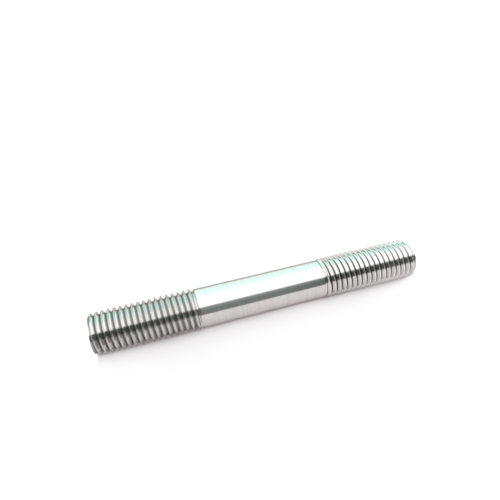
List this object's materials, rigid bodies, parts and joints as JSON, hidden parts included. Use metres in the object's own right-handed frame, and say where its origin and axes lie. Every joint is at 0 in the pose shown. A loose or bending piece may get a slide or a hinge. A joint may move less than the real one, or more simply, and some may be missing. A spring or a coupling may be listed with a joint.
{
  "type": "double ended stud",
  "caption": "Double ended steel stud: a straight round bar with the same right-hand thread on both ends, a plain shank between them and chamfered ends.",
  "frame": {"origin": "centre of the lower end face; the stud stands on that face", "axes": "+Z along the stud's axis towards the upper end, X and Y across it"},
  "size_m": [0.019, 0.019, 0.1524],
  "materials": {
    "plated_steel": "bright zinc plate over rolled and drawn steel, fine marks round the shank"
  },
  "bodies": {
    "root": {"stud": "plated_steel"}
  },
  "joints": []
}
